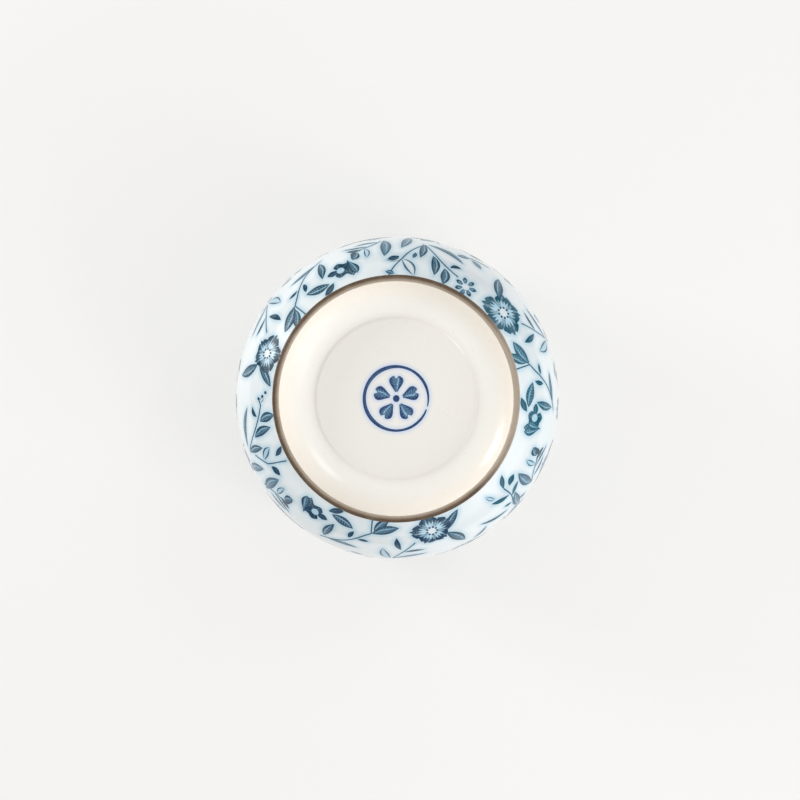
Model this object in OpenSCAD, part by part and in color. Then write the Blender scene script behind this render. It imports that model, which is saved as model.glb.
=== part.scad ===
// Teacup: a porcelain cup with a rounded lower wall, a slightly tapered upper wall
// and a ring foot. The clay, the glaze coats, the printed decoration, the brown
// foot edge and the maker's mark are separate solids that meet face to face.
// The cup stands upright on z = 0, with its axis on Z and its mouth at the top.

/* [Cup] */
// Height from the resting plane to the top of the lip
cup_height = 70; // [64:1:76]
// Outside diameter where the rounded lower wall turns straight
body_d = 84; // [80:1:88]
// Outside diameter of the mouth, just under the rounded lip
mouth_d = 86; // [85:0.5:92]
// Radius of the rounded lower wall, in section
corner_r = 22.4; // [21:0.2:23]
// Height of the widest point of the rounded lower wall
corner_z = 24.5; // [24:0.5:26]
// Thickness of the wall above the rounded part
wall_t = 3; // [2.6:0.1:3.2]
// Thickness of the lip
lip_t = 2.6; // [2.2:0.1:2.8]

/* [Inside] */
// Height of the inner floor above the resting plane
floor_z = 9.5; // [9.2:0.1:11]
// Radius of the inner corner between the floor and the wall, in section
inner_corner_r = 15; // [13:0.5:15.5]

/* [Foot] */
// Outside diameter of the foot, over its brown edge
foot_d = 61.2; // [59:0.2:62]
// Height of the brown edge
edge_h = 1.1; // [0.9:0.1:1.3]
// Radius of the brown edge's rounded shoulders
edge_round = 0.45; // [0.3:0.05:0.5]
// How far the glazed neck of the foot stands in from the brown edge
neck_inset = 0.15; // [0.1:0.05:0.4]
// Radius of the fillet between the foot's neck and the body
neck_fillet = 0.8; // [0.5:0.1:1.2]

/* [Foot well] */
// Height of the well's roof above the resting plane
well_z = 5.8; // [5.4:0.1:6.2]
// Radius at which the well's roof starts to curve down to the foot
well_flat_r = 20.5; // [20:0.1:21]
// Radius of the curve from the well's roof to the foot, in section
well_curve_r = 10; // [9.6:0.1:10.2]
// How far the round panel in the middle of the well stands out
panel_step = 0.2; // [0.1:0.05:0.3]

/* [Coats] */
// Thickness of the glaze
glaze_t = 0.3; // [0.25:0.05:0.4]
// Thickness of the printed decoration under the outer glaze
print_t = 0.15; // [0.1:0.05:0.2]
// Height at which the printed decoration starts, just above the foot
print_low = 6; // [5.6:0.2:10]
// Distance from the top of the lip to the upper edge of the decoration
print_gap = 2.5; // [2:0.5:10]

/* [Maker's mark] */
// Outside diameter of the mark's ring
mark_d = 17; // [10:0.5:20]
// Width of the mark's ring
mark_ring_w = 0.5; // [0.4:0.1:1]
// Number of petals in the mark
mark_petals = 5; // [4:1:8]
// Distance of each petal's middle from the mark's centre
mark_petal_at = 4.1; // [3.6:0.1:4.6]
// Radius of each petal
mark_petal_r = 1.9; // [1.2:0.1:2.2]
// Radius of the dot in the middle of the mark
mark_dot_r = 1.1; // [0.6:0.1:1.4]
// Thickness of the mark
mark_t = 0.1; // [0.08:0.02:0.2]

/* [Hidden] */
$fn = 180;
// a small overlap, so that curves which would only touch cross each other
eps = 0.02;

body_r = body_d / 2;
corner_x = body_r - corner_r;
wall_top = cup_height - lip_t / 2;
lip_x = mouth_d / 2 - lip_t / 2;

inner_r = body_r - wall_t;
inner_corner_x = inner_r - inner_corner_r;
inner_corner_z = floor_z + inner_corner_r;

foot_r = foot_d / 2;
neck_r = foot_r - neck_inset;
// centre of the fillet circle, which touches the neck and the rounded lower wall
fillet_x = neck_r + neck_fillet;
fillet_z = corner_z - sqrt(pow(corner_r + neck_fillet, 2) - pow(fillet_x - corner_x, 2));
// the point at distance d from the centre of the rounded lower wall, towards the fillet
function towards_fillet(d) =
    let (share = d / (corner_r + neck_fillet))
    [corner_x + (fillet_x - corner_x) * share, corner_z + (fillet_z - corner_z) * share];
neck_top = towards_fillet(corner_r)[1];
inside_corner = towards_fillet(corner_r - 1);

well_curve_z = well_z - well_curve_r;
well_mouth_r = well_flat_r + sqrt(pow(well_curve_r, 2) - pow(edge_h - well_curve_z, 2));
panel_r = well_flat_r - panel_step;
mark_z = well_z - panel_step - mark_t;

glaze_color = "aliceblue";
clay_color = "ivory";
print_color = "steelblue";
edge_color = [0.42, 0.35, 0.29];
well_color = "seashell";
mark_color = "royalblue";

// a box in the half plane of the section, from radius r0 to r1 and height z0 to z1
module span(r0, r1, z0, z1) {
    translate([r0, z0]) square([r1 - r0, z1 - z0]);
}

// a region out from the axis, with a round lower corner of radius r around (x, z),
// and above it a wall that reaches radius top_x at the top
module rounded_region(x, z, r, top_x) {
    intersection() {
        translate([x, z]) circle(r = r);
        span(x, x + r, z - r, z + r);
    }
    span(0, x, z - r, z);
    polygon([[0, z], [x + r - eps, z], [top_x, wall_top], [0, wall_top]]);
}

// everything inside the cup's outer surface up to the lip, shrunk by inset
module envelope(inset) {
    difference() {
        union() {
            rounded_region(corner_x, corner_z, corner_r - inset, mouth_d / 2 - inset);
            span(0, neck_r - inset, 0, fillet_z);
            polygon([[0, fillet_z], [fillet_x, fillet_z], inside_corner, [0, inside_corner[1]]]);
        }
        translate([fillet_x, fillet_z]) circle(r = neck_fillet + inset + eps);
    }
}

// the space inside the cup up to the lip, grown by extra
module cavity(extra) {
    rounded_region(inner_corner_x, inner_corner_z, inner_corner_r + extra,
                   mouth_d / 2 - lip_t + extra);
}

// the hollow under the cup, grown by extra
module well(extra) {
    span(0, well_flat_r, -1, well_z + extra);
    intersection() {
        translate([well_flat_r, well_curve_z]) circle(r = well_curve_r + extra);
        span(well_flat_r, foot_r, -1, well_z + extra);
    }
}

// the printed layer, in section
module print_section() {
    intersection() {
        difference() {
            envelope(glaze_t);
            envelope(glaze_t + print_t);
        }
        span(well_flat_r, mouth_d, print_low, cup_height - print_gap);
    }
}

// all the clay, in section
module clay_section() {
    difference() {
        envelope(glaze_t);
        cavity(glaze_t);
        well(glaze_t);
        print_section();
        span(0, mouth_d, -1, edge_h);
    }
}

// the rounded edge of the clay inside the lip
module lip_core() {
    translate([lip_x, wall_top]) circle(r = lip_t / 2 - glaze_t + eps);
}

// clay wall, from the foot ring to the lip
module cup_wall() {
    color(clay_color) rotate_extrude() {
        intersection() {
            clay_section();
            span(well_flat_r, mouth_d, neck_top, wall_top);
        }
        lip_core();
    }
}

// clay floor between the well and the inside
module cup_floor() {
    color(clay_color) translate([0, 0, well_z + glaze_t])
        cylinder(r = well_flat_r, h = floor_z - well_z - 2 * glaze_t);
}

// clay foot ring, below the wall
module foot_ring() {
    color(clay_color) rotate_extrude() intersection() {
        clay_section();
        span(well_flat_r, mouth_d, edge_h, neck_top);
    }
}

// brown, unglazed edge that the cup stands on
module foot_edge() {
    inner_x = well_mouth_r + edge_round;
    outer_x = foot_r - edge_round;
    color(edge_color) rotate_extrude() {
        for (x = [inner_x, outer_x]) intersection() {
            translate([x, edge_round]) circle(r = edge_round);
            span(well_mouth_r, foot_r, 0, edge_round);
        }
        span(inner_x, outer_x, 0, edge_round + eps);
        span(well_mouth_r, foot_r, edge_round, edge_h);
    }
}

// printed decoration between the clay and the outer glaze
module print_band() {
    color(print_color) rotate_extrude() print_section();
}

// clear glaze on the outside of the wall and the foot
module outer_glaze() {
    color(glaze_color) rotate_extrude() difference() {
        intersection() {
            envelope(0);
            span(0, mouth_d, edge_h, wall_top);
        }
        envelope(glaze_t);
        lip_core();
    }
}

// clear glaze over the lip
module lip_glaze() {
    color(glaze_color) rotate_extrude() difference() {
        intersection() {
            translate([lip_x, wall_top]) circle(r = lip_t / 2);
            span(lip_x - lip_t, lip_x + lip_t, wall_top, cup_height);
        }
        lip_core();
    }
}

// clear glaze on the inside of the cup
module inner_glaze() {
    color(glaze_color) rotate_extrude() difference() {
        cavity(glaze_t);
        cavity(0);
        lip_core();
    }
}

// clear glaze in the foot well, with the round panel that carries the mark
module well_glaze() {
    color(well_color) rotate_extrude() {
        intersection() {
            difference() {
                well(glaze_t);
                well(0);
            }
            span(0, foot_r, edge_h, well_z + glaze_t);
        }
        span(0, panel_r, well_z - panel_step, well_z + eps);
    }
}

// mark under the cup: a plain ring around a small blossom
module maker_mark() {
    color(mark_color) translate([0, 0, mark_z]) {
        difference() {
            cylinder(d = mark_d, h = mark_t);
            translate([0, 0, -1]) cylinder(d = mark_d - 2 * mark_ring_w, h = mark_t + 2);
        }
        for (i = [0 : mark_petals - 1]) rotate(i * 360 / mark_petals)
            translate([mark_petal_at, 0, 0]) cylinder(r = mark_petal_r, h = mark_t);
        cylinder(r = mark_dot_r, h = mark_t);
    }
}

cup_wall();
cup_floor();
foot_ring();
foot_edge();
print_band();
outer_glaze();
lip_glaze();
inner_glaze();
well_glaze();
maker_mark();
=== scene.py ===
import math

import bpy
import numpy as np
from mathutils import Matrix, Vector
from mathutils.kdtree import KDTree


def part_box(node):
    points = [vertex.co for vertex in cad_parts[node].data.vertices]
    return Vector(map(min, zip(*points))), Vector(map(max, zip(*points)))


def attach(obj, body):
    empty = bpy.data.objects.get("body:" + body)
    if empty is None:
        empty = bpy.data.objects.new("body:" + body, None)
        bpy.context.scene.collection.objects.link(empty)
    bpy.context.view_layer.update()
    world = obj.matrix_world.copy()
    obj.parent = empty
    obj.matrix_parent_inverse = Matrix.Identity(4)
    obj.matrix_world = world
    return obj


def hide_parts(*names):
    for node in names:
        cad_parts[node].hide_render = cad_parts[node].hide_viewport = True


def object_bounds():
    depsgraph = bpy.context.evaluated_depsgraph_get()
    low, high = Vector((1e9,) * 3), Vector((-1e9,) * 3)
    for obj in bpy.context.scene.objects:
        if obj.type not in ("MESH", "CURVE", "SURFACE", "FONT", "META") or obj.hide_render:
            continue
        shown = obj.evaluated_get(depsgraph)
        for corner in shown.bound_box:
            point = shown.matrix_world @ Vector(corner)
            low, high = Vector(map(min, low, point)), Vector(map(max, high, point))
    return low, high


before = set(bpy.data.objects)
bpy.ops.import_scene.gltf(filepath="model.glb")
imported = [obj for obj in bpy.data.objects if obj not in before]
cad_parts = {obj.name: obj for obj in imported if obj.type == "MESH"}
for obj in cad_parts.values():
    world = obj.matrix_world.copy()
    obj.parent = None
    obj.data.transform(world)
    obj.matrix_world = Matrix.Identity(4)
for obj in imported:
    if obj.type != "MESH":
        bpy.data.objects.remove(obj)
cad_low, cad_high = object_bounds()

MM = 0.001

# ---------------------------------------------------------------- sizes, in millimetres
HEIGHT = cad_high.z / MM
MOUTH_R = cad_high.x / MM
EDGE_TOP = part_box("foot_edge")[1].z / MM
FOOT_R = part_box("foot_edge")[1].x / MM
WALL_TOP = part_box("lip_glaze")[0].z / MM
WELL_FLAT_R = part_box("cup_floor")[1].x / MM
MARK_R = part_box("maker_mark")[1].x / MM
PRINT_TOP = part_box("print_band")[1].z / MM
GLAZE_T = 0.3
WELL_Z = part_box("cup_floor")[0].z / MM - GLAZE_T
FLOOR_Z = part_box("cup_floor")[1].z / MM + GLAZE_T
PANEL_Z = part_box("maker_mark")[1].z / MM

# the wall where it turns straight, outside and inside, and the rounded lip
BODY_R = 42.0
INNER_R = 39.0
LIP_R = HEIGHT - WALL_TOP
# the rounded lower wall: its radius in section and where its centre lies, and the inside's radius
CORNER_R = 22.4
CORNER_Z = 24.5
CORNER_X = BODY_R - CORNER_R
INNER_CORNER_R = 15.0
# the foot: its glazed neck, the fillet above it and the rounded shoulders of the brown edge
NECK_INSET = 0.15
NECK_R = FOOT_R - NECK_INSET
FILLET_R = 0.8
EDGE_ROUND = 0.45
# the well under the cup: the curve of its side, and the raised panel with its sloping step
WELL_CURVE_R = 10.0
PANEL_INSET = 0.2
PANEL_R = WELL_FLAT_R - PANEL_INSET
STEP_RUN = 0.38

# the fillet circle touches the neck and the rounded lower wall
FILLET_X = NECK_R + FILLET_R
FILLET_Z = CORNER_Z - math.sqrt((CORNER_R + FILLET_R) ** 2 - (FILLET_X - CORNER_X) ** 2)
CORNER_TURN = math.atan2(CORNER_Z - FILLET_Z, FILLET_X - CORNER_X)
CORNER_LENGTH = CORNER_R * CORNER_TURN
FILLET_LENGTH = FILLET_R * CORNER_TURN
# the print's upper edge, as a distance along the surface from the top of the foot's neck
PRINT_RISE = CORNER_LENGTH + PRINT_TOP - CORNER_Z
# how late the upper wall opens, and the unevenness of the outer surface and of the brown edge
WALL_FLARE = 1.25
WOBBLE = 0.03
EDGE_WEAR = 0.04
# points around a turned shell, and rings of the outer coat on its neck, fillet, corner and wall
SEGMENTS = 480
NECK_RINGS, FILLET_RINGS, CORNER_RINGS, WALL_RINGS = 5, 8, 38, 62
# faces that meet at a larger angle than this form a sharp fold
SHARP_DEGREES = 35


def srgb(red, green, blue):
    """A colour given as 0 to 255 display values, as linear RGBA."""
    def linear(value):
        share = value / 255
        return share / 12.92 if share <= 0.04045 else ((share + 0.055) / 1.055) ** 2.4
    return (linear(red), linear(green), linear(blue), 1.0)


# ---------------------------------------------------------------- the outer surface
def flare(z, start_r, end_r):
    """Radius of the upper wall at height z: it opens slowly from start_r to end_r."""
    share = np.clip((z - CORNER_Z) / (WALL_TOP - CORNER_Z), 0, 1)
    return start_r + (end_r - start_r) * share ** WALL_FLARE


def section(rise):
    """Radius, height and outward normal of the outer surface, at a distance along it that is
    counted from the top of the foot's neck."""
    rise = np.asarray(rise, float)
    neck_z = FILLET_Z + rise + FILLET_LENGTH
    turn = math.pi - np.clip(rise + FILLET_LENGTH, 0, FILLET_LENGTH) / FILLET_R
    climb = np.clip(rise / CORNER_R, 0, CORNER_TURN) - CORNER_TURN
    wall_z = CORNER_Z + rise - CORNER_LENGTH
    zones = [rise < -FILLET_LENGTH, rise < 0, rise < CORNER_LENGTH]
    slope = (MOUTH_R - BODY_R) / (WALL_TOP - CORNER_Z)
    radius = np.select(zones, [NECK_R + 0 * rise, FILLET_X + FILLET_R * np.cos(turn),
                               CORNER_X + CORNER_R * np.cos(climb)],
                       flare(wall_z, BODY_R, MOUTH_R))
    height = np.select(zones, [neck_z, FILLET_Z + FILLET_R * np.sin(turn),
                               CORNER_Z + CORNER_R * np.sin(climb)], wall_z)
    normal_r = np.select(zones, [1 + 0 * rise, -np.cos(turn), np.cos(climb)], 1.0)
    normal_z = np.select(zones, [0 * rise, -np.sin(turn), np.sin(climb)], -slope)
    return radius, height, normal_r, normal_z


def wobble(angle, height):
    """How far the hand-finished surface falls inside the true one."""
    oval = np.sin(2 * angle + 0.6) * np.sin(height / 11)
    three_sided = np.sin(3 * angle + 2.1) * np.cos(height / 17)
    return WOBBLE * (0.5 + 0.25 * (oval + three_sided))


def on_surface(degrees, rise, lift):
    """Points in metres on the outer surface, lifted off it by lift millimetres."""
    angle = np.radians(degrees)
    radius, height, normal_r, normal_z = section(rise)
    radius = radius - wobble(angle, height) + lift * normal_r
    height = height + lift * normal_z
    return np.stack([radius * np.cos(angle), radius * np.sin(angle), height], -1) * MM


# ---------------------------------------------------------------- meshes
def make_object(name, points, faces):
    """A mesh object from points in metres, shaded smooth except at sharp folds."""
    mesh = bpy.data.meshes.new(name)
    mesh.from_pydata([tuple(p) for p in points], [], [tuple(f) for f in faces])
    mesh.update()
    mesh.shade_smooth()
    mesh.set_sharp_from_angle(angle=math.radians(SHARP_DEGREES))
    piece = bpy.data.objects.new(name, mesh)
    bpy.context.scene.collection.objects.link(piece)
    return piece


def dress(piece, material, node):
    """Gives a piece its material and the body it rides on, and hides the CAD node it stands in for.
    """
    piece.data.materials.append(material)
    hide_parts(node)
    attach(piece, "root")
    return piece


def turned(name, outline, moulded=None):
    """A closed shell turned around Z. The outline runs around the section, with the solid on its
    left. If it starts and ends on the axis, the shell closes there. moulded(radius, height, angle)
    gives each point its slightly uneven place."""
    outline = np.array(outline, float)
    on_axis = outline[0][0] == 0
    rings = outline[1:-1] if on_axis else outline
    angle = np.linspace(0, 2 * math.pi, SEGMENTS, endpoint=False)
    radius = np.repeat(rings[:, :1], SEGMENTS, 1)
    height = np.repeat(rings[:, 1:], SEGMENTS, 1)
    if moulded:
        radius, height = moulded(radius, height, angle[None, :])
    points = np.stack([radius * np.cos(angle), radius * np.sin(angle), height], -1).reshape(-1, 3)
    count = len(rings)
    faces = []
    for i in range(count - 1 if on_axis else count):
        below, above = i * SEGMENTS, (i + 1) % count * SEGMENTS
        for j in range(SEGMENTS):
            k = (j + 1) % SEGMENTS
            faces.append((below + j, below + k, above + k, above + j))
    if on_axis:
        first, last = len(points), len(points) + 1
        points = np.vstack([points, [0, 0, outline[0][1]], [0, 0, outline[-1][1]]])
        top = (count - 1) * SEGMENTS
        for j in range(SEGMENTS):
            k = (j + 1) % SEGMENTS
            faces.append((first, k, j))
            faces.append((last, top + j, top + k))
    return make_object(name, points * MM, faces)


def arc(x, z, radius, start, end, step):
    """Points on a circle around (x, z), from one angle to another in degrees, at most step apart."""
    count = max(2, int(abs(math.radians(end - start)) * radius / step) + 1)
    turns = [math.radians(start + (end - start) * i / count) for i in range(count + 1)]
    return [(x + radius * math.cos(t), z + radius * math.sin(t)) for t in turns]


def line(start, end, step):
    """Evenly spaced points from start to end, without the last one."""
    count = max(1, int(math.dist(start, end) / step))
    return [(start[0] + (end[0] - start[0]) * i / count, start[1] + (end[1] - start[1]) * i / count)
            for i in range(count)]


def outer_coat():
    """The outer glaze, from the brown edge up to the lip."""
    low = EDGE_TOP - FILLET_Z - FILLET_LENGTH
    top = CORNER_LENGTH + WALL_TOP - CORNER_Z
    rises = np.concatenate([np.linspace(low, -FILLET_LENGTH, NECK_RINGS),
                            np.linspace(-FILLET_LENGTH, 0, FILLET_RINGS)[1:],
                            np.linspace(0, CORNER_LENGTH, CORNER_RINGS)[1:],
                            np.linspace(CORNER_LENGTH, top, WALL_RINGS)[1:]])
    radius, height = section(rises)[:2]
    skin = list(zip(radius, height))
    radius, height, normal_r, normal_z = section(rises[::-2])
    back = list(zip(radius - GLAZE_T * normal_r, height - GLAZE_T * normal_z))
    back[0] = (back[0][0], WALL_TOP)

    def moulded(radius, height, angle):
        return radius - wobble(angle, height), height
    return turned("outer_glaze_coat", skin + back, moulded)


def lip_coat():
    """The glaze rolled over the lip."""
    centre = MOUTH_R - LIP_R
    outside = arc(centre, WALL_TOP, LIP_R, 0, 180, 0.09)
    inside = arc(centre, WALL_TOP, LIP_R - GLAZE_T, 180, 0, 0.15)

    def moulded(radius, height, angle):
        return radius - wobble(angle, height) * np.clip((radius - centre) / LIP_R, 0, 1), height
    return turned("lip_glaze_coat", outside + inside, moulded)


def inner_coat():
    """The glaze inside the cup, from the middle of the floor up to the lip."""
    centre_x = INNER_R - INNER_CORNER_R
    centre_z = FLOOR_Z + INNER_CORNER_R
    lip_inside = MOUTH_R - 2 * LIP_R
    walls = []
    for grow, step in ((GLAZE_T, 2.0), (0, 0.8)):
        heights = np.linspace(centre_z, WALL_TOP, int((WALL_TOP - centre_z) / step))
        wall = [(float(flare(z, INNER_R, lip_inside)) + grow, z) for z in heights[1:]]
        floor = line((0, FLOOR_Z - grow), (centre_x, FLOOR_Z - grow), 1.2)
        corner = arc(centre_x, centre_z, INNER_CORNER_R + grow, -90, 0, step)
        walls.append(floor + corner + wall)
    return turned("inner_glaze_coat", walls[0] + walls[1][::-1])


def well_coat():
    """The glaze under the cup: the round panel, its low step and the curve down to the foot."""
    curve_z = WELL_Z - WELL_CURVE_R
    end = math.degrees(math.asin((EDGE_TOP - curve_z) / WELL_CURVE_R))
    back_end = math.degrees(math.asin((EDGE_TOP - curve_z) / (WELL_CURVE_R + GLAZE_T)))
    rim = (PANEL_R - STEP_RUN, PANEL_Z)
    face = line((0, PANEL_Z), rim, 0.4)
    step = line(rim, (WELL_FLAT_R, WELL_Z), 0.15) + [(WELL_FLAT_R, WELL_Z)]
    curve = arc(WELL_FLAT_R, curve_z, WELL_CURVE_R, 90, end, 0.35)[1:]
    back = arc(WELL_FLAT_R, curve_z, WELL_CURVE_R + GLAZE_T, back_end, 90, 1.0)
    roof = line((WELL_FLAT_R, WELL_Z + GLAZE_T), (0, WELL_Z + GLAZE_T), 2.5)[1:]
    return turned("well_glaze_coat", face + step + curve + back + roof + [(0, WELL_Z + GLAZE_T)])


def brown_edge():
    """The bare edge that the cup stands on, with slightly uneven rounded shoulders."""
    inner = math.sqrt(WELL_CURVE_R ** 2 - (EDGE_TOP - WELL_Z + WELL_CURVE_R) ** 2) + WELL_FLAT_R
    outline = line((inner, EDGE_TOP), (inner, EDGE_ROUND), 0.2)
    outline += arc(inner + EDGE_ROUND, EDGE_ROUND, EDGE_ROUND, 180, 270, 0.08)
    outline += line((inner + EDGE_ROUND + 0.08, 0), (FOOT_R - EDGE_ROUND, 0), 0.12)
    outline += arc(FOOT_R - EDGE_ROUND, EDGE_ROUND, EDGE_ROUND, -90, 0, 0.08)
    outline += line((FOOT_R, EDGE_ROUND + 0.1), (FOOT_R, EDGE_TOP), 0.2) + [(FOOT_R, EDGE_TOP)]
    outline += line((FOOT_R, EDGE_TOP), (inner, EDGE_TOP), 0.3)[1:]
    middle = (inner + FOOT_R) / 2

    def moulded(radius, height, angle):
        coarse = 0.2 * np.sin(5 * angle + 1) + 0.15 * np.sin(13 * angle)
        worn = 0.5 + coarse + 0.15 * np.sin(31 * angle + 2)
        low = np.clip(1 - height / EDGE_TOP, 0, 1)
        side = np.sign(radius - middle)
        return radius - side * EDGE_WEAR * worn * low, height + EDGE_WEAR * worn * low
    return turned("brown_foot_edge", outline, moulded)


# ---------------------------------------------------------------- printed patches
# how far a patch's top and bottom lie off the surface, and how far each level adds to its top
LIFT = 0.025
LEVEL = 0.012
ROOT = -0.04
# neighbours that cross lie at slightly different heights, which repeat after this many patches
STAGGER = 4
# the ink spreads until a leaf is this many times as wide as it is drawn
FULLNESS = 1.3
STEM_WIDTH = 0.32

INK_BLUE = srgb(0, 54, 84)
INK_SLATE = srgb(8, 56, 78)
INK_TEAL = srgb(0, 82, 102)
INK_GREY = srgb(62, 90, 112)
INK_STEM = srgb(30, 80, 106)
PALE_VEIN = srgb(142, 190, 214)
PALE_BLUE = srgb(180, 214, 232)
PALE_WHITE = srgb(222, 234, 240)
MARK_BLUE = srgb(10, 52, 104)

# how a patch is inked: its body, its rim, its pale veins and a fringe that fades to its root
SOLID = (1.15, 0.1, 0.4, 0.0)
STRIPED = (0.85, 0.4, 0.8, 0.0)
OUTLINE = (0.15, 1.0, 0.1, 0.0)
STREAK = (0.95, 0.3, 1.1, 0.0)
PETAL = (1.0, 0.5, 0.35, 0.95)
FILLING = (0.05, 0.15, 0.0, 0.0)
PLAIN = (1.05, 0.0, 0.0, 0.0)


def rounded_rim(across):
    """How far a petal's outer end reaches, as a share of its length."""
    return -0.16 * across * across


def ragged_rim(across):
    """An outer end with three rounded teeth."""
    return 0.08 * (math.cos(across * 8.4) - 1) - 0.2 * across * across


def heart_rim(across):
    """An outer end with one notch in the middle."""
    return -0.2 * math.exp(-(across / 0.3) ** 2) - 0.08 * across * across


def grid_border(rows, columns):
    """Numbers of the border points of a grid of points, in order around it."""
    border = [i * columns for i in range(rows)]
    border += [(rows - 1) * columns + j for j in range(1, columns)]
    border += [i * columns + columns - 1 for i in range(rows - 2, -1, -1)]
    return border + list(range(columns - 2, 0, -1))


class Pen:
    """Collects the thin closed patches of one printed piece. A point of the outer surface is
    (degrees around the cup, millimetres along the surface from the foot's neck). Patches that would
    cross the print's upper edge are left out. bloom is the size of the large flowers."""
    top = PRINT_RISE

    def __init__(self, ink, bloom=0.0):
        self.ink = ink
        self.bloom = bloom
        self.points, self.faces = [], []
        self.place, self.style, self.dark, self.pale = [], [], [], []
        # the inked points of each patch, and how many points there are in all
        self.stains = []
        self.count = 0
        self.move(0.0)

    def move(self, degrees, raise_by=0.0, spread=1.0):
        """Sets the point that the next motifs are drawn around, and how much narrower they get."""
        self.centre, self.raise_by, self.spread = degrees, raise_by, spread

    def at(self, degrees, rise):
        """The point at an offset from the one that move has set."""
        return np.array([self.centre + degrees * self.spread, rise + self.raise_by])

    def scale(self, points):
        """Millimetres in one unit of each coordinate."""
        radius = section(points[..., 1])[0]
        return np.stack([np.radians(radius), np.ones_like(radius)], -1)

    def surface(self, points, lift):
        """Points in metres, lifted off the surface by lift millimetres."""
        return on_surface(points[..., 0], points[..., 1], lift)

    def step(self, point, direction, distance):
        """The point at a distance in millimetres from another, in a direction in degrees."""
        angle = math.radians(direction)
        move = np.array([math.cos(angle), math.sin(angle)]) * distance
        return point + move / self.scale(point)

    def band(self, path, half, style, level=0, ink=None, pale=PALE_VEIN, columns=5, ends=None):
        """A closed patch along a path. half is half its width at each point in millimetres, and
        ends(across) pushes its far end out or in."""
        path = np.array(path, float)
        if path[:, 1].max() > self.top:
            return
        unit = self.scale(path)
        run = np.gradient(path, axis=0) * unit
        run /= np.linalg.norm(run, axis=1)[:, None]
        side = np.stack([-run[:, 1], run[:, 0]], 1)
        across = np.linspace(-1, 1, columns)
        reach = across[None, :, None] * half[:, None, None] * side[:, None, :]
        grid = (path * unit)[:, None, :] + reach
        steps = np.linalg.norm(np.diff(path, axis=0) * unit[1:], axis=1)
        length = np.concatenate([[0], np.cumsum(steps)])
        if ends is not None:
            share = (length / length[-1]) ** 3
            push = np.array([ends(a) for a in across]) * length[-1]
            grid += share[:, None, None] * push[None, :, None] * run[:, None, :]
        grid /= unit[:, None, :]
        rows = len(path)
        lift = LIFT + LEVEL * (level + len(self.stains) % STAGGER / STAGGER)
        top = self.surface(grid, lift).reshape(-1, 3)
        bottom = self.surface(grid, ROOT).reshape(-1, 3)
        self.points += [top, bottom]
        base, under = self.count, self.count + rows * columns
        for i in range(rows - 1):
            for j in range(columns - 1):
                a, b = i * columns + j, (i + 1) * columns + j
                self.faces.append((base + a, base + b, base + b + 1, base + a + 1))
                self.faces.append((under + a, under + a + 1, under + b + 1, under + b))
        rim = grid_border(rows, columns)
        for a, b in zip(rim, rim[1:] + rim[:1]):
            self.faces.append((base + a, under + a, under + b, base + b))
        share = np.repeat(length / length[-1], columns)
        place = np.stack([np.repeat(length, columns), np.tile(across, rows), share], 1)
        self.place += [place, place]
        total = 2 * rows * columns
        self.style.append(np.tile(style, (total, 1)))
        self.dark.append(np.tile(ink or self.ink, (total, 1)))
        self.pale.append(np.tile(pale, (total, 1)))
        self.stains.append(top)
        self.count += total

    def leaf(self, root, tip, width, style=SOLID, bend=0.06, full=0.5, **more):
        """A pointed leaf from root to tip. full is where along it the leaf is widest."""
        start, end = self.at(*root), self.at(*tip)
        unit = self.scale((start + end) / 2)
        run = (end - start) * unit
        size = float(np.linalg.norm(run))
        side = np.array([-run[1], run[0]]) / size
        t = np.linspace(0, 1, max(9, int(size / 0.5)))
        path = start + t[:, None] * (end - start)
        path = path + (bend * size * np.sin(math.pi * t))[:, None] * side / unit
        power = math.log(0.5) / math.log(full)
        half = np.maximum(FULLNESS * width / 2 * np.sin(math.pi * t ** power) ** 0.85, 0.035)
        self.band(path, half, style, **more)

    def stem(self, *knots, ink=INK_STEM):
        """A thin line that runs smoothly through its knots."""
        knots = np.array([self.at(*k) for k in knots])
        ends = np.vstack([2 * knots[0] - knots[1], knots, 2 * knots[-1] - knots[-2]])
        path = []
        for a, b, c, d in zip(ends, ends[1:], ends[2:], ends[3:]):
            for t in np.arange(0, 1, 0.2):
                cubic = t * (3 * (b - c) + d - a)
                square = t * (2 * a - 5 * b + 4 * c - d + cubic)
                path.append(b + 0.5 * t * (c - a + square))
        path.append(knots[-1])
        half = np.full(len(path), STEM_WIDTH / 2)
        self.band(path, half, PLAIN, ink=ink, columns=3)

    def petal(self, centre, direction, start, end, width, style=PETAL, rim=rounded_rim, full=0.62,
              **more):
        """A broad petal around a flower's centre. rim(across) shapes its outer end."""
        t = np.linspace(0, 1, max(8, int((end - start) / 0.35)))
        path = [self.step(centre, direction, start + (end - start) * x) for x in t]
        power = math.log(0.5) / math.log(full)
        half = np.maximum(width / 2 * np.sin(math.pi * (0.14 + 0.73 * t) ** power) ** 0.8, 0.05)
        self.band(path, half, style, columns=13, ends=rim, **more)

    def spot(self, centre, size, style, **more):
        """A round dot."""
        t = np.linspace(-1, 1, 9)
        path = [self.step(centre, 0, size / 2 * x) for x in t]
        half = np.maximum(size / 2 * np.sqrt(np.maximum(1 - t * t, 0)), 0.02)
        self.band(path, half, style, **more)

    def finish(self, name, material, node, slot_name):
        """Makes the piece from the patches drawn so far."""
        piece = make_object(name, np.vstack(self.points), self.faces)
        for label, kind, rows in (("print_place", "FLOAT_VECTOR", self.place),
                                  ("print_style", "FLOAT_COLOR", self.style),
                                  ("print_ink", "FLOAT_COLOR", self.dark),
                                  ("print_pale", "FLOAT_COLOR", self.pale)):
            values = np.vstack(rows).astype(np.float32).ravel()
            layer = piece.data.attributes.new(label, kind, "POINT")
            layer.data.foreach_set("vector" if kind == "FLOAT_VECTOR" else "color", values)
        return dress(piece, material, node)


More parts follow.
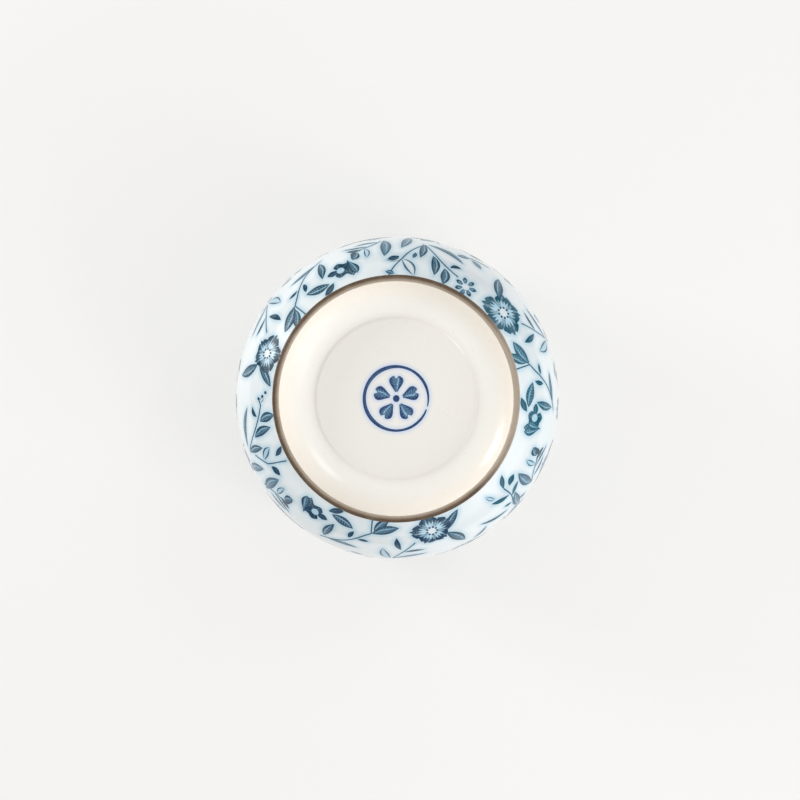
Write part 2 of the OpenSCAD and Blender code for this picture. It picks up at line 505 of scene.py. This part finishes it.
class PanelPen(Pen):
    """Draws on the flat panel under the cup. A point is (x, y) in millimetres."""

    def scale(self, points):
        return np.ones_like(points)

    def surface(self, points, lift):
        depth = np.full(points.shape[:-1], PANEL_Z - lift)
        return np.concatenate([points, depth[..., None]], -1) * MM


# ---------------------------------------------------------------- motifs of the printed sprays
def flower(pen, centre, size):
    """A large open flower: five fringed petals around a pale eye with a ring of dots."""
    for turn, reach in ((-8, 1.04), (60, 0.9), (128, 0.9), (203, 1.06), (278, 0.92)):
        pen.petal(centre, turn, 0.14 * size, reach * size, 0.84 * size,
                  rim=ragged_rim, full=0.64, pale=PALE_BLUE)
    pen.spot(centre, 0.56 * size, FILLING, level=1, pale=PALE_WHITE)
    for i in range(9):
        place = pen.step(centre, i * 40 + 10, 0.23 * size)
        pen.spot(place, 0.11 * size, PLAIN, level=2)


def flower_spray(pen):
    """The large flower with its leaves, and the stem that leaves it to one side."""
    flower(pen, pen.at(0.2, 4.4), pen.bloom)
    pen.leaf((-5.3, 6.7), (-10.5, 13.8), 2.2, STRIPED, ink=INK_SLATE)
    pen.stem((7.9, 7.8), (10.9, 10.2), (14.1, 13.2), (16.7, 16.5))
    pen.leaf((13.7, 10.6), (15.2, 5.5), 1.15, SOLID)
    pen.leaf((12.4, 12.1), (5.0, 11.8), 0.75, SOLID, ink=INK_SLATE)
    pen.leaf((16.7, 16.9), (4.4, 14.5), 0.9, STREAK, ink=INK_GREY)
    pen.leaf((17.7, 17.1), (20.6, 10.2), 1.8, OUTLINE, pale=PALE_BLUE, ink=INK_SLATE)
    pen.leaf((-9.3, 17.7), (-4.8, 19.5), 0.8, SOLID, ink=INK_GREY)


def side_leaf(pen):
    """The leaf between a large flower and the foot."""
    pen.leaf((-5.1, 6.0), (-13.7, 0.9), 1.7, STREAK)


def fork_spray(pen):
    """Two striped leaves at a fork, with a long stem of small leaves."""
    pen.leaf((-0.3, 4.5), (-11.7, 1.9), 2.1, STRIPED)
    pen.leaf((-1.0, 3.6), (-7.2, -0.6), 1.8, STRIPED)
    pen.stem((0.6, -0.4), (0.3, 2.0), (0, 4.5))
    pen.stem((0, 4.5), (2.9, 6.0), (5.5, 7.8), (10.0, 10.6), (13.8, 12.3), (18.6, 14.1))
    pen.leaf((4.8, 8.1), (0.5, 8.0), 0.7, SOLID)
    pen.leaf((8.4, 8.5), (7.2, 5.4), 0.95, SOLID)
    pen.leaf((15.4, 13.2), (4.5, 12.3), 1.0, STREAK, ink=INK_SLATE)
    pen.leaf((17.5, 12.6), (15.8, 5.7), 1.7, STREAK)
    pen.leaf((1.9, 17.7), (6.1, 17.1), 0.7, SOLID, ink=INK_GREY)


def pair_spray(pen):
    """Two leaves that lie along the foot."""
    pen.leaf((5.3, 2.8), (-5.3, 4.5), 2.0, STREAK)
    pen.leaf((7.2, 2.4), (1.1, 0.4), 1.3, SOLID)


def blossom_spray(pen):
    """A small open blossom seen from the side, with a bell-shaped bud."""
    centre = pen.at(0, 5.3)
    petals = ((178, 3.6, 1.8), (250, 2.4, 2.4), (95, 2.9, 2.6), (30, 3.0, 2.4), (318, 2.4, 2.2))
    for turn, reach, width in petals:
        pen.petal(centre, turn, 0.2, reach, width, SOLID)
    pen.spot(centre, 2.1, FILLING, level=1, pale=PALE_BLUE)
    for aside, reach in ((-1.9, 5.0), (0.1, 6.0), (2.0, 5.6)):
        pen.leaf((3.9, 8.2), (4.6 + aside, 8.2 - reach), 1.9, STRIPED, bend=0.0, full=0.68)


def bud_spray(pen):
    """Two buds and thin leaves on a short stem."""
    pen.leaf((1.2, 10.4), (-1.4, 7.7), 1.9, STRIPED, ink=INK_SLATE, full=0.6)
    pen.leaf((0.2, 11.2), (-1.6, 9.4), 1.1, SOLID, ink=INK_SLATE)
    pen.leaf((4.3, 11.4), (4.3, 7.1), 1.2, OUTLINE, pale=PALE_BLUE)
    pen.leaf((2.6, 11.1), (-2.7, 12.4), 1.0, SOLID, ink=INK_SLATE)
    pen.leaf((5.0, 12.4), (-3.7, 14.2), 0.6, SOLID, ink=INK_GREY)
    pen.stem((2.1, 11.4), (5.3, 12.1), (7.9, 13.2), (10.3, 14.9))


def oval_spray(pen):
    """A broad striped leaf with two slim ones."""
    pen.leaf((0.2, 15.3), (0.1, 6.7), 2.2, STRIPED, ink=INK_GREY)
    pen.leaf((6.1, 6.4), (1.3, 5.3), 1.4, SOLID)
    pen.leaf((9.3, 18.6), (6.8, 10.2), 1.9, STRIPED, ink=INK_GREY)
    pen.leaf((-10.3, 14.5), (-2.3, 14.2), 0.7, SOLID, ink=INK_GREY)


def sprig_spray(pen):
    """A short stem with a dark leaf and an open one."""
    pen.stem((-1.0, 7.1), (1.6, 9.1), (4.2, 11.1))
    pen.leaf((3.5, 0.3), (0.6, 3.2), 1.0, SOLID)
    pen.leaf((1.1, 7.8), (5.0, 4.1), 1.5, OUTLINE, pale=PALE_BLUE)
    pen.stem((-3.5, 0.8), (-2.3, 3.5), (-1.0, 7.1), ink=INK_GREY)


def open_sprig_spray(pen):
    """A fine forked stem with open leaves on both sides."""
    pen.stem((-5.4, -0.4), (-3.0, 2.3), (0.6, 5.4))
    pen.stem((0.6, 5.4), (3.6, 8.6), (7.4, 12.0))
    pen.leaf((0.6, 5.4), (6.4, 0.2), 2.0, OUTLINE, pale=PALE_WHITE, ink=INK_STEM)
    pen.leaf((0.4, 5.2), (-6.0, 5.1), 0.8, OUTLINE, pale=PALE_WHITE, ink=INK_STEM)
    pen.leaf((-6.6, 1.2), (-2.6, 0.4), 1.0, STREAK, ink=INK_STEM)
    pen.leaf((5.9, 8.4), (5.1, 6.1), 0.8, SOLID, ink=INK_GREY)


def fern_spray(pen):
    """A long arching stem with leaves hanging from it."""
    pen.stem((0, 13.2), (3.2, 10.2), (7.4, 7.1), (11.9, 5.1), (16.4, 4.0))
    pen.leaf((-0.8, 13.5), (-1.0, 6.7), 1.55, STRIPED, ink=INK_SLATE)
    pen.leaf((3.9, 8.3), (6.4, 1.7), 1.75, STRIPED)
    pen.leaf((9.8, 4.9), (11.6, 0), 1.9, STRIPED)
    pen.leaf((11.9, 5.9), (15.9, 7.2), 0.9, SOLID, bend=0.2)
    pen.leaf((1.4, 13.8), (15.8, 9.7), 1.2, STREAK, ink=INK_SLATE)


def berry_spray(pen):
    """Three berries at the end of the arching stem."""
    for place in ((0.2, 4.7), (1.2, 3.4), (2.9, 2.4)):
        pen.spot(pen.at(*place), 0.8, PLAIN)
    pen.leaf((-1.4, 4.2), (0.6, 3.0), 0.7, OUTLINE, pale=PALE_WHITE)
    pen.stem((-2.6, 4.0), (-1.2, 4.4), (0.2, 4.7))


def star_spray(pen):
    """A small star flower of seven petals, with a grey sprig above it."""
    centre = pen.at(0, 2.4)
    for i in range(7):
        turn = i * 51.4 + 14
        pen.petal(centre, turn, 0.9, 2.9, 1.2, STRIPED, ink=INK_STEM, pale=PALE_VEIN)
        pen.spot(pen.step(centre, turn, 2.5), 0.75, PLAIN, level=1)
    pen.spot(centre, 2.0, FILLING, level=1, pale=PALE_WHITE)
    pen.leaf((-8.7, 12.6), (-4.2, 14.5), 1.3, STRIPED, ink=INK_GREY)
    pen.leaf((-3.2, 14.1), (1.3, 12.1), 1.3, STRIPED, ink=INK_GREY)
    pen.stem((-4.2, 14.8), (-0.4, 15.8), (3.2, 16.5), ink=INK_GREY)


def cross_spray(pen):
    """An upright stem that crosses slim leaves, where two ends of the print meet."""
    pen.leaf((0, 5.4), (-4.0, 2.1), 1.1, SOLID)
    pen.stem((0, 5.4), (0, 9.7), (2.1, 14.1))
    pen.leaf((-0.2, 10.2), (-5.8, 8.3), 0.9, SOLID)
    pen.leaf((0.6, 8.9), (7.9, 6.4), 1.1, SOLID)
    pen.leaf((2.1, 12.6), (5.0, 11.3), 0.7, SOLID)
    pen.leaf((-3.7, 16.5), (-0.8, 14.8), 0.8, SOLID, ink=INK_GREY)
    pen.leaf((5.0, 14.2), (16.3, 10.6), 0.8, SOLID, ink=INK_SLATE)
    pen.leaf((5.6, 5.9), (7.9, 3.0), 0.9, OUTLINE, pale=PALE_BLUE, ink=INK_GREY)
    pen.leaf((15.0, 13.5), (21.1, 16.6), 0.8, SOLID, ink=INK_GREY)


# where each motif stands around the foot, in degrees, for the three lengths of the print. None, or a
# row that ends early, leaves the motif out of a length
SPRAYS = ((flower_spray, (74.7, 199.0, 321.1)),
          (side_leaf, (74.7, 199.0)),
          (fork_spray, (100.6, 222.4, 345.7)),
          (pair_spray, (113.8, 234.3, 358.5)),
          (blossom_spray, (125.7, 246.4, 368.0)),
          (bud_spray, (137.0, 253.8, 381.1)),
          (oval_spray, (145.3, 265.0, 391.5)),
          (sprig_spray, (154.0,)),
          (open_sprig_spray, (None, 271.6)),
          (fern_spray, (160.7, 280.6)),
          (berry_spray, (179.7,)),
          (star_spray, (None, 301.8)),
          (cross_spray, (None, None, 400.0)))
# the ink of each length, and the size of its large flowers
SECTOR_INKS = (INK_BLUE, INK_SLATE, INK_TEAL)
SECTOR_BLOOMS = (5.6, 5.2, 6.3)
# the rows up the wall: their distance, how far each is turned, and how much narrower their angles are
ROW_PITCH = 18.0
ROW_SHIFT = 62.0
ROW_SPREAD = 0.82
ROWS = 4


def draw_sector(pen, sector, raise_by=0.0, turn=0.0, spread=1.0):
    """One of the three lengths of the print, in the row that lies raise_by above the lowest."""
    for spray, places in SPRAYS:
        if sector < len(places) and places[sector] is not None:
            pen.move(places[sector] + turn, raise_by, spread)
            spray(pen)


def printed_pieces(material):
    """All the printed pieces. The band above the foot repeats up the wall, each row turned."""
    stains = []
    for row in range(ROWS):
        for sector in range(3):
            pen = Pen(SECTOR_INKS[sector], SECTOR_BLOOMS[sector])
            spread = 1.0 if row == 0 else ROW_SPREAD
            draw_sector(pen, sector, row * ROW_PITCH, row * ROW_SHIFT, spread)
            pen.finish(f"print_row{row + 1}_spray{sector + 1}", material, "print_band", "blue_print")
            stains += pen.stains
    return np.vstack(stains)


def mark_piece(material):
    """The mark under the cup: a brushed ring around a five-petal blossom."""
    pen = PanelPen(MARK_BLUE)
    centre = np.zeros(2)
    ring = MARK_R - 0.5
    count = 90
    path = [pen.step(centre, t, ring) for t in np.linspace(20, 374, count)]
    sweep = np.linspace(0, 1, count)
    half = 0.16 + 0.28 * np.sin(math.pi * sweep) ** 0.7 + 0.05 * np.sin(sweep * 23)
    pen.band(path, half, SOLID)
    for i in range(5):
        pen.petal(centre, i * 72 - 90, 0.2 * MARK_R, 0.68 * MARK_R, 0.42 * MARK_R, STRIPED,
                  rim=heart_rim, full=0.66)
    pen.spot(centre, 0.2 * MARK_R, PLAIN, level=1)
    pen.finish("blossom_mark", material, "maker_mark", "mark_blue")
    return np.vstack(pen.stains)


# ---------------------------------------------------------------- materials
# the brown edge is painted paler, a painted sheen of the light on that side, from the first to the
# second distance along X, in millimetres
SHEEN_FROM = 18
SHEEN_TO = 31


class Shader:
    """A node material, with short calls for the nodes that its recipe uses."""

    def __init__(self, name):
        self.material = bpy.data.materials.new(name)
        self.material.use_nodes = True
        self.tree = self.material.node_tree
        self.surface = self.tree.nodes["Principled BSDF"]
        self.where = self.add("ShaderNodeTexCoord").outputs["Object"]

    def add(self, kind, **settings):
        made = self.tree.nodes.new(kind)
        for name, value in settings.items():
            setattr(made, name, value)
        return made

    def plug(self, value, socket):
        """Links an output, or sets a plain value."""
        if isinstance(value, bpy.types.NodeSocket):
            self.tree.links.new(value, socket)
        else:
            socket.default_value = value

    def around_zero(self, value, size):
        """A value from 0 to 1, moved to run from -size / 2 to size / 2."""
        return self.maths("MULTIPLY", self.maths("SUBTRACT", value, 0.5), size)

    def maths(self, operation, first, second=0.0, clamp=False):
        made = self.add("ShaderNodeMath", operation=operation, use_clamp=clamp)
        self.plug(first, made.inputs[0])
        self.plug(second, made.inputs[1])
        return made.outputs[0]

    def fade(self, value, low, high, start=0.0, end=1.0):
        """A smooth step from start to end as value goes from low to high."""
        made = self.add("ShaderNodeMapRange", interpolation_type="SMOOTHSTEP")
        for number, given in enumerate((value, low, high, start, end)):
            self.plug(given, made.inputs[number])
        return made.outputs[0]

    def noise(self, scale, detail, rough=0.5):
        """Noise from 0 to 1, with scale in features per metre."""
        made = self.add("ShaderNodeTexNoise")
        self.plug(self.where, made.inputs["Vector"])
        made.inputs["Scale"].default_value = scale
        made.inputs["Detail"].default_value = detail
        made.inputs["Roughness"].default_value = rough
        return made.outputs[0]

    def blend(self, share, first, second):
        made = self.add("ShaderNodeMix", data_type="RGBA")
        self.plug(share, made.inputs[0])
        self.plug(first, made.inputs[6])
        self.plug(second, made.inputs[7])
        return made.outputs[2]

    def attribute(self, name):
        """Values that are stored at the mesh's points under this name."""
        return self.add("ShaderNodeAttribute", attribute_name=name)

    def radius(self):
        """Distance from the cup's axis, in metres."""
        flat = self.add("ShaderNodeVectorMath", operation="MULTIPLY")
        self.plug(self.where, flat.inputs[0])
        flat.inputs[1].default_value = (1, 1, 0)
        length = self.add("ShaderNodeVectorMath", operation="LENGTH")
        self.plug(flat.outputs[0], length.inputs[0])
        return length.outputs["Value"]

    def painted_sheen_side(self):
        """1 on the side of the foot that is painted paler as a painted sheen of the light on that
        side, and 0 all round the rest.
        """
        parts = self.add("ShaderNodeSeparateXYZ")
        self.plug(self.where, parts.inputs[0])
        return self.fade(parts.outputs[0], SHEEN_FROM * MM, SHEEN_TO * MM)

    def bump(self, height, distance):
        """Roughens the surface, with the distance from height 0 to height 1 in metres."""
        made = self.add("ShaderNodeBump")
        made.inputs["Distance"].default_value = distance
        self.plug(height, made.inputs["Height"])
        self.plug(made.outputs[0], self.surface.inputs["Normal"])

    def set(self, **values):
        """Sets the surface's inputs, each by its name with _ for a space."""
        for name, value in values.items():
            self.plug(value, self.surface.inputs[name.replace("_", " ")])


def glaze_material(name, white, shade, halo=None):
    """A clear glaze over white porcelain: faint clouding, fine ripples, pinholes and a wet gloss.
    halo is its colour where the print's blue has bled into it."""
    s = Shader(name)
    cloud = s.fade(s.noise(90, 3), 0.35, 0.7)
    colour = s.blend(cloud, white, shade)
    if halo:
        stain = s.attribute("print_halo").outputs["Fac"]
        colour = s.blend(stain, colour, halo)
    pits = s.fade(s.noise(900, 1), 0.76, 0.82)
    s.set(Base_Color=colour, Roughness=s.fade(s.noise(400, 2), 0.3, 0.7, 0.09, 0.15),
          Coat_Weight=0.5, Coat_Roughness=0.04)
    ripple = s.maths("SUBTRACT", s.noise(260, 2), s.maths("MULTIPLY", pits, 0.3))
    s.bump(ripple, 0.00004)
    return s.material


def well_material():
    """The warm white glaze under the cup, warmer towards the brown edge, with its flat panel painted
    darker than the slope as painted shade of the hollow.
    """
    s = Shader("warm_white_well_glaze")
    near_edge = s.fade(s.radius(), 23.5 * MM, 28.5 * MM)
    # painted shade: the flat panel deep in the hollow is painted darker than the slope around it
    slope_painted_lighter = s.fade(s.radius(), 19.5 * MM, 22.5 * MM)
    white = s.blend(slope_painted_lighter, srgb(241, 237, 231), srgb(251, 248, 241))
    drift = s.maths("ADD", near_edge, s.around_zero(s.noise(120, 3), 0.35), clamp=True)
    colour = s.blend(drift, white, srgb(250, 242, 230))
    speck = s.fade(s.noise(1500, 0), 0.8, 0.84)
    colour = s.blend(s.maths("MULTIPLY", speck, 0.15), colour, srgb(190, 170, 145))
    colour = s.blend(s.attribute("print_halo").outputs["Fac"], colour, srgb(196, 214, 238))
    s.set(Base_Color=colour, Roughness=s.fade(s.noise(300, 2), 0.3, 0.7, 0.14, 0.22),
          Coat_Weight=0.4, Coat_Roughness=0.07)
    s.bump(s.noise(220, 2), 0.00003)
    return s.material


def edge_material():
    """Bare clay washed with iron brown, darker on its outer side, and painted paler on one side as a
    painted sheen of the light there.
    """
    s = Shader("iron_brown_wash")
    outwards = s.fade(s.radius(), 29.0 * MM, 30.1 * MM)
    patchy = s.noise(240, 4, 0.6)
    share = s.maths("ADD", outwards, s.around_zero(patchy, 0.7))
    # painted sheen: the brown edge's side towards +X is painted paler, as if lit from there
    share = s.maths("SUBTRACT", share, s.maths("MULTIPLY", s.painted_sheen_side(), 0.9), clamp=True)
    colour = s.blend(share, srgb(172, 157, 140), srgb(82, 61, 39))
    grain = s.fade(s.noise(2600, 3), 0.5, 0.75)
    colour = s.blend(s.maths("MULTIPLY", grain, 0.25), colour, srgb(172, 152, 130))
    s.set(Base_Color=colour, Roughness=s.fade(patchy, 0.3, 0.7, 0.22, 0.4),
          Coat_Weight=0.3, Coat_Roughness=0.25)
    s.bump(s.noise(2200, 4, 0.65), 0.00005)
    return s.material


def clay_material():
    """Fired porcelain clay, matt and faintly grained."""
    s = Shader("porcelain_clay")
    colour = s.blend(s.fade(s.noise(500, 4), 0.3, 0.7), srgb(238, 233, 222), srgb(228, 221, 208))
    s.set(Base_Color=colour, Roughness=s.fade(s.noise(900, 2), 0.3, 0.7, 0.5, 0.7))
    s.bump(s.noise(3000, 4, 0.6), 0.00004)
    return s.material


def ink_material(name):
    """Ink of the printed transfer under gloss. Each patch carries its own tones and style."""
    s = Shader(name)
    place = s.add("ShaderNodeSeparateXYZ")
    s.plug(s.attribute("print_place").outputs["Vector"], place.inputs[0])
    along, across, share = place.outputs
    style = s.attribute("print_style")
    parts = s.add("ShaderNodeSeparateColor")
    s.plug(style.outputs["Color"], parts.inputs[0])
    body, rim, veins = parts.outputs
    fringe = style.outputs["Alpha"]
    aside = s.maths("ABSOLUTE", across)
    rim_here = s.maths("MULTIPLY", rim, s.fade(aside, 0.42, 0.8))
    waver = s.around_zero(s.noise(700, 1), 0.5)
    off_centre = s.maths("ABSOLUTE", s.maths("ADD", s.maths("SUBTRACT", across, 0.22), waver))
    streak = s.fade(off_centre, 0.04, 0.17, 1.0, 0.0)
    inside = s.fade(s.maths("ABSOLUTE", s.maths("SUBTRACT", share, 0.5)), 0.28, 0.46, 1.0, 0.0)
    slant = s.maths("SUBTRACT", s.maths("MULTIPLY", along, 8.5), s.maths("MULTIPLY", aside, 5.0))
    ribs = s.fade(s.maths("SINE", slant), 0.45, 0.95, 0.0, 0.35)
    midrib = s.maths("MULTIPLY", streak, inside)
    pale_lines = s.maths("MULTIPLY", s.maths("MAXIMUM", midrib, ribs), veins)
    strokes = s.maths("MULTIPLY", s.maths("SINE", s.maths("MULTIPLY", across, 15.0)), 0.1)
    reach = s.fade(s.maths("ADD", share, strokes), 0.34, 0.56)
    faded = s.maths("ADD", s.maths("MULTIPLY", s.maths("SUBTRACT", reach, 1.0), fringe), 1.0)
    dark = s.maths("ADD", s.maths("MULTIPLY", body, faded), rim_here)
    dark = s.maths("SUBTRACT", dark, pale_lines)
    mottle = s.around_zero(s.noise(1800, 3, 0.6), 0.5)
    dark = s.maths("ADD", dark, mottle, clamp=True)
    uneven = s.fade(s.noise(420, 2), 0.3, 0.6, 0.94, 1.0)
    dark = s.maths("MULTIPLY", dark, uneven)
    pale = s.attribute("print_pale").outputs["Color"]
    colour = s.blend(dark, pale, s.attribute("print_ink").outputs["Color"])
    s.set(Base_Color=colour, Roughness=0.16, Coat_Weight=0.15, Coat_Roughness=0.05)
    s.bump(s.noise(260, 2), 0.00003)
    return s.material


# ---------------------------------------------------------------- stage, light and camera
BACKGROUND = srgb(244, 243, 241)
# the paper discs: their radius in metres, how far out they stay whole, and how brightly they glow
BACKDROP_R, BACKDROP_GLOW = 0.26, 0.61
FLOOR_R, FLOOR_GLOW = 1.2, 0.57
WHOLE_TO = 0.7
# the room's light on surfaces and in reflections
ROOM_LIGHT, ROOM_MIRRORED = 0.71, 0.25
# the soft boxes: name, place and size in metres, power in watts, and colour. All but the one overhead
# stay below the floor's level, so that low side views don't see them
SOFT_BOXES = (
    ("key_from_right", (0.34, 0.19, -0.44), 0.2, 0.42, (1.0, 0.99, 0.97)),
    ("second_from_far_right", (0.3, -0.28, -0.44), 0.16, 0.38, (0.98, 0.99, 1.0)),
    ("side_light_from_right", (0.45, 0.34, -0.2), 0.34, 1.35, (1.0, 0.99, 0.98)),
    ("fill_from_left", (-0.54, -0.25, -0.11), 0.2, 1.9, (1.0, 0.99, 0.96)),
    ("overhead", (0.25, -0.35, 0.6), 0.5, 1.3, (1.0, 1.0, 0.99)),
)
# the camera, in millimetres
CAMERA_PLACE = (5.0, -2.3, -410.0)
CAMERA_AIM = (0.98, 0.32, 0.0)
SENSOR_WIDTH = 36.0
LENS = 74.9


def disc(name, height, radius, facing):
    """A flat round of the stage that faces up, or down where facing is -1."""
    count = 96
    turns = [2 * math.pi * i / count * facing for i in range(count)]
    points = [(radius * math.cos(t), radius * math.sin(t), height) for t in turns]
    piece = make_object(name, points, [tuple(range(count))])
    return piece


def paper_material(name, radius, glow):
    """Pale paper that shows from its front, to the camera and in reflections, and fades out
    towards its rim."""
    s = Shader(name)
    s.set(Base_Color=srgb(160, 159, 158), Roughness=1.0, Specular_IOR_Level=0.0,
          Emission_Color=BACKGROUND, Emission_Strength=glow)
    rays = s.add("ShaderNodeLightPath").outputs
    path = s.maths("MAXIMUM", rays["Is Camera Ray"], rays["Is Glossy Ray"])
    behind = s.add("ShaderNodeNewGeometry").outputs["Backfacing"]
    front = s.maths("MULTIPLY", path, s.maths("SUBTRACT", 1.0, behind))
    shown = s.maths("MULTIPLY", front, s.fade(s.radius(), radius * WHOLE_TO, radius, 1.0, 0.0))
    clear = s.add("ShaderNodeBsdfTransparent").outputs[0]
    mixed = s.add("ShaderNodeMixShader")
    s.plug(shown, mixed.inputs[0])
    s.plug(clear, mixed.inputs[1])
    s.plug(s.surface.outputs[0], mixed.inputs[2])
    s.plug(mixed.outputs[0], s.tree.nodes["Material Output"].inputs["Surface"])
    return s.material


def soft_light(name, place, size, watts, colour):
    """A square soft box that faces the cup."""
    lamp = bpy.data.lights.new(name, "AREA")
    lamp.shape = "SQUARE"
    lamp.size = size
    lamp.energy = watts
    lamp.color = colour
    rig = bpy.data.objects.new(name, lamp)
    rig.location = place
    target = Vector((0, 0, HEIGHT * MM / 3))
    rig.rotation_euler = (target - Vector(place)).to_track_quat("-Z", "Y").to_euler()
    bpy.context.scene.collection.objects.link(rig)


def pale_world(strength, mirrored):
    """Even light from all sides, dimmer in reflections, so that the soft boxes stand out in them.
    The camera sees it at the background's own brightness."""
    world = bpy.data.worlds.new("pale_room")
    world.use_nodes = True
    bpy.context.scene.world = world
    tree = world.node_tree
    room = tree.nodes["Background"]
    room.inputs["Color"].default_value = srgb(244, 245, 246)
    path = tree.nodes.new("ShaderNodeLightPath")
    dim = tree.nodes.new("ShaderNodeMapRange")
    tree.links.new(path.outputs["Is Glossy Ray"], dim.inputs["Value"])
    dim.inputs["To Min"].default_value = strength
    dim.inputs["To Max"].default_value = mirrored
    tree.links.new(dim.outputs["Result"], room.inputs["Strength"])
    seen = tree.nodes.new("ShaderNodeBackground")
    seen.inputs["Color"].default_value = BACKGROUND
    mixed = tree.nodes.new("ShaderNodeMixShader")
    tree.links.new(path.outputs["Is Camera Ray"], mixed.inputs[0])
    tree.links.new(room.outputs[0], mixed.inputs[1])
    tree.links.new(seen.outputs[0], mixed.inputs[2])
    tree.links.new(mixed.outputs[0], tree.nodes["World Output"].inputs["Surface"])


def make_stage():
    """The paper behind the cup and under it, the soft boxes and the light of the room."""
    backdrop = disc("backdrop", HEIGHT * MM, BACKDROP_R, -1)
    backdrop.data.materials.append(paper_material("backdrop_paper", BACKDROP_R, BACKDROP_GLOW))
    floor = disc("floor", 0.0, FLOOR_R, 1)
    floor.data.materials.append(paper_material("floor_paper", FLOOR_R, FLOOR_GLOW))
    for box in SOFT_BOXES:
        soft_light(*box)
    pale_world(ROOM_LIGHT, ROOM_MIRRORED)
    bpy.context.scene.view_settings.view_transform = "Standard"


def make_camera():
    """The camera looks straight up at the foot, from a little to one side of the axis."""
    place = Vector(CAMERA_PLACE) * MM
    aim = Vector(CAMERA_AIM) * MM
    forward = (aim - place).normalized()
    right = forward.cross(Vector((0, -1, 0))).normalized()
    up = right.cross(forward)
    lens = bpy.data.cameras.new("camera")
    lens.sensor_width = SENSOR_WIDTH
    lens.lens = LENS
    rig = bpy.data.objects.new("camera", lens)
    rig.matrix_world = Matrix.Translation(place) @ Matrix((right, up, -forward)).transposed().to_4x4()
    bpy.context.scene.collection.objects.link(rig)
    bpy.context.scene.camera = rig


# ---------------------------------------------------------------- the cup
# how far the mark's and the print's blue bleeds into the glaze, in millimetres, and how fast it fades
MARK_BLEED = 1.3
PRINT_BLEED = 1.7
BLEED_POWER = 1.8


def stain_glaze(piece, stains, bleed):
    """Writes how strongly the print's blue has bled into the glaze at each of its points."""
    tree = KDTree(len(stains))
    for number, point in enumerate(stains):
        tree.insert(point, number)
    tree.balance()
    values = [max(0.0, 1 - tree.find(v.co)[2] / bleed) ** BLEED_POWER for v in piece.data.vertices]
    layer = piece.data.attributes.new("print_halo", "FLOAT", "POINT")
    layer.data.foreach_set("value", values)


make_camera()
make_stage()

clay = clay_material()
for name in ("cup_wall", "cup_floor", "foot_ring"):
    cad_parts[name].data.materials.clear()
    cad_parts[name].data.materials.append(clay)

outer_white = glaze_material("cool_white_outer_glaze",
                             srgb(231, 237, 239), srgb(225, 233, 236), srgb(176, 209, 225))
inner_white = glaze_material("cool_white_inner_glaze", srgb(240, 243, 242), srgb(235, 240, 240))
ink = ink_material("printed_blue_ink")

outer = dress(outer_coat(), outer_white, "outer_glaze")
dress(lip_coat(), inner_white, "lip_glaze")
dress(inner_coat(), inner_white, "inner_glaze")
well = dress(well_coat(), well_material(), "well_glaze")
dress(brown_edge(), edge_material(), "foot_edge")
stain_glaze(well, mark_piece(ink_material("mark_blue_ink")), MARK_BLEED * MM)
stain_glaze(outer, printed_pieces(ink), PRINT_BLEED * MM)
